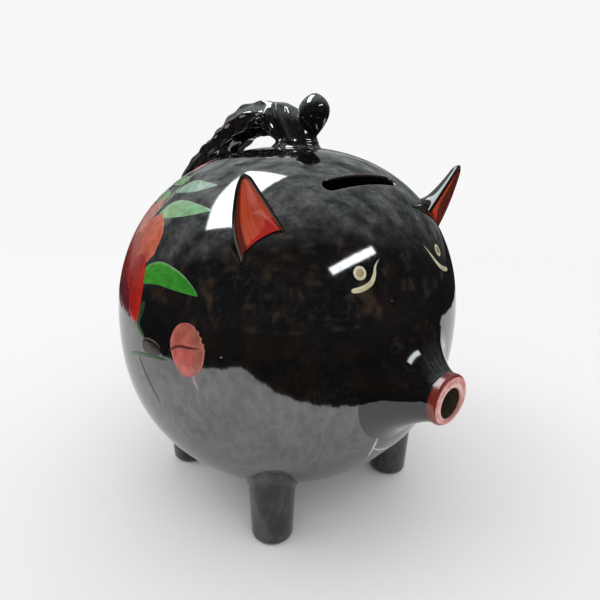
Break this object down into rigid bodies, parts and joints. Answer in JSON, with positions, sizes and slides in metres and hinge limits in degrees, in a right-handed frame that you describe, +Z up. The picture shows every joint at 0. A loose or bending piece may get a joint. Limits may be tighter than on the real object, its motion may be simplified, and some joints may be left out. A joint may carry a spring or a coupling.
{
  "type": "ceramic pig coin bank",
  "caption": "Round glazed ceramic pig money box with a coin slot in its brow, a spout snout, a branch handle and a belly cork.",
  "frame": {"origin": "on the floor under the middle of the bounding box", "axes": "+Z up, the pig faces -Y, +X is the pig's left"},
  "size_m": [0.1514, 0.1598, 0.1743],
  "materials": {
    "black_glaze": "mirror-bright black glaze over red clay",
    "snout_glaze": "black glaze with a coral pink painted lip",
    "ear_glaze": "black glaze outside, orange-red painted hollow inside",
    "cork": "natural cork, ground smooth"
  },
  "bodies": {
    "bank": {"body_shell": "black_glaze", "snout": "snout_glaze", "ear_left": "ear_glaze", "ear_right": "ear_glaze", "foot_front_left": "black_glaze", "foot_front_right": "black_glaze", "foot_rear_left": "black_glaze", "foot_rear_right": "black_glaze", "handle_branch": "black_glaze", "handle_bud": "black_glaze"},
    "cork": {"belly_cork": "cork"}
  },
  "joints": [
    {"name": "cork_pull", "type": "slide", "parent": "bank", "child": "cork", "axis": [0, 0, -1], "range_m": [0, 0.022]}
  ]
}
